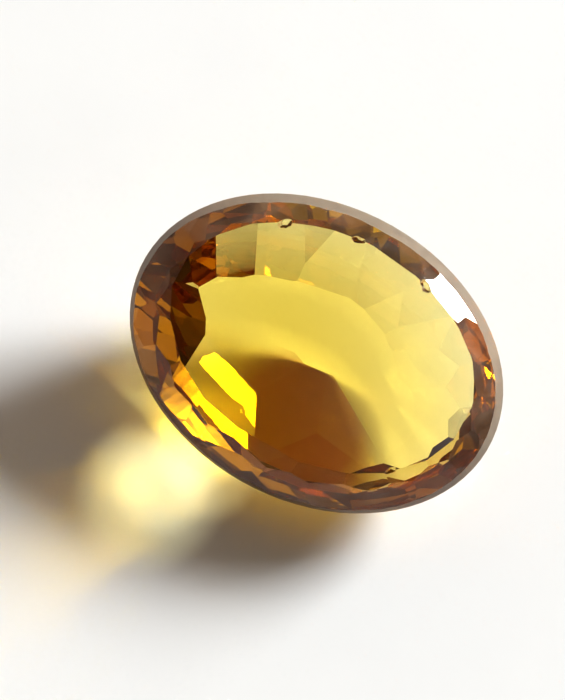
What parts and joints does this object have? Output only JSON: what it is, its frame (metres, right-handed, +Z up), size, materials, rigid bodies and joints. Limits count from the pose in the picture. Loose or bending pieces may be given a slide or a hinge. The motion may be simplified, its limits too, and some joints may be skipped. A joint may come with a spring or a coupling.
{
  "type": "oval faceted citrine gemstone",
  "caption": "Loose oval cut and polished citrine, flat table on top, thin girdle, faceted pavilion, lying on one lower facet.",
  "frame": {"origin": "middle of the stone's footprint, on the surface it lies on", "axes": "+Z up, +X along the stone's long axis, the table leans towards -Y"},
  "size_m": [0.016, 0.0114, 0.0071],
  "materials": {
    "citrine": "polished clear golden yellow"
  },
  "bodies": {
    "root": {"citrine_gem": "citrine"}
  },
  "joints": []
}
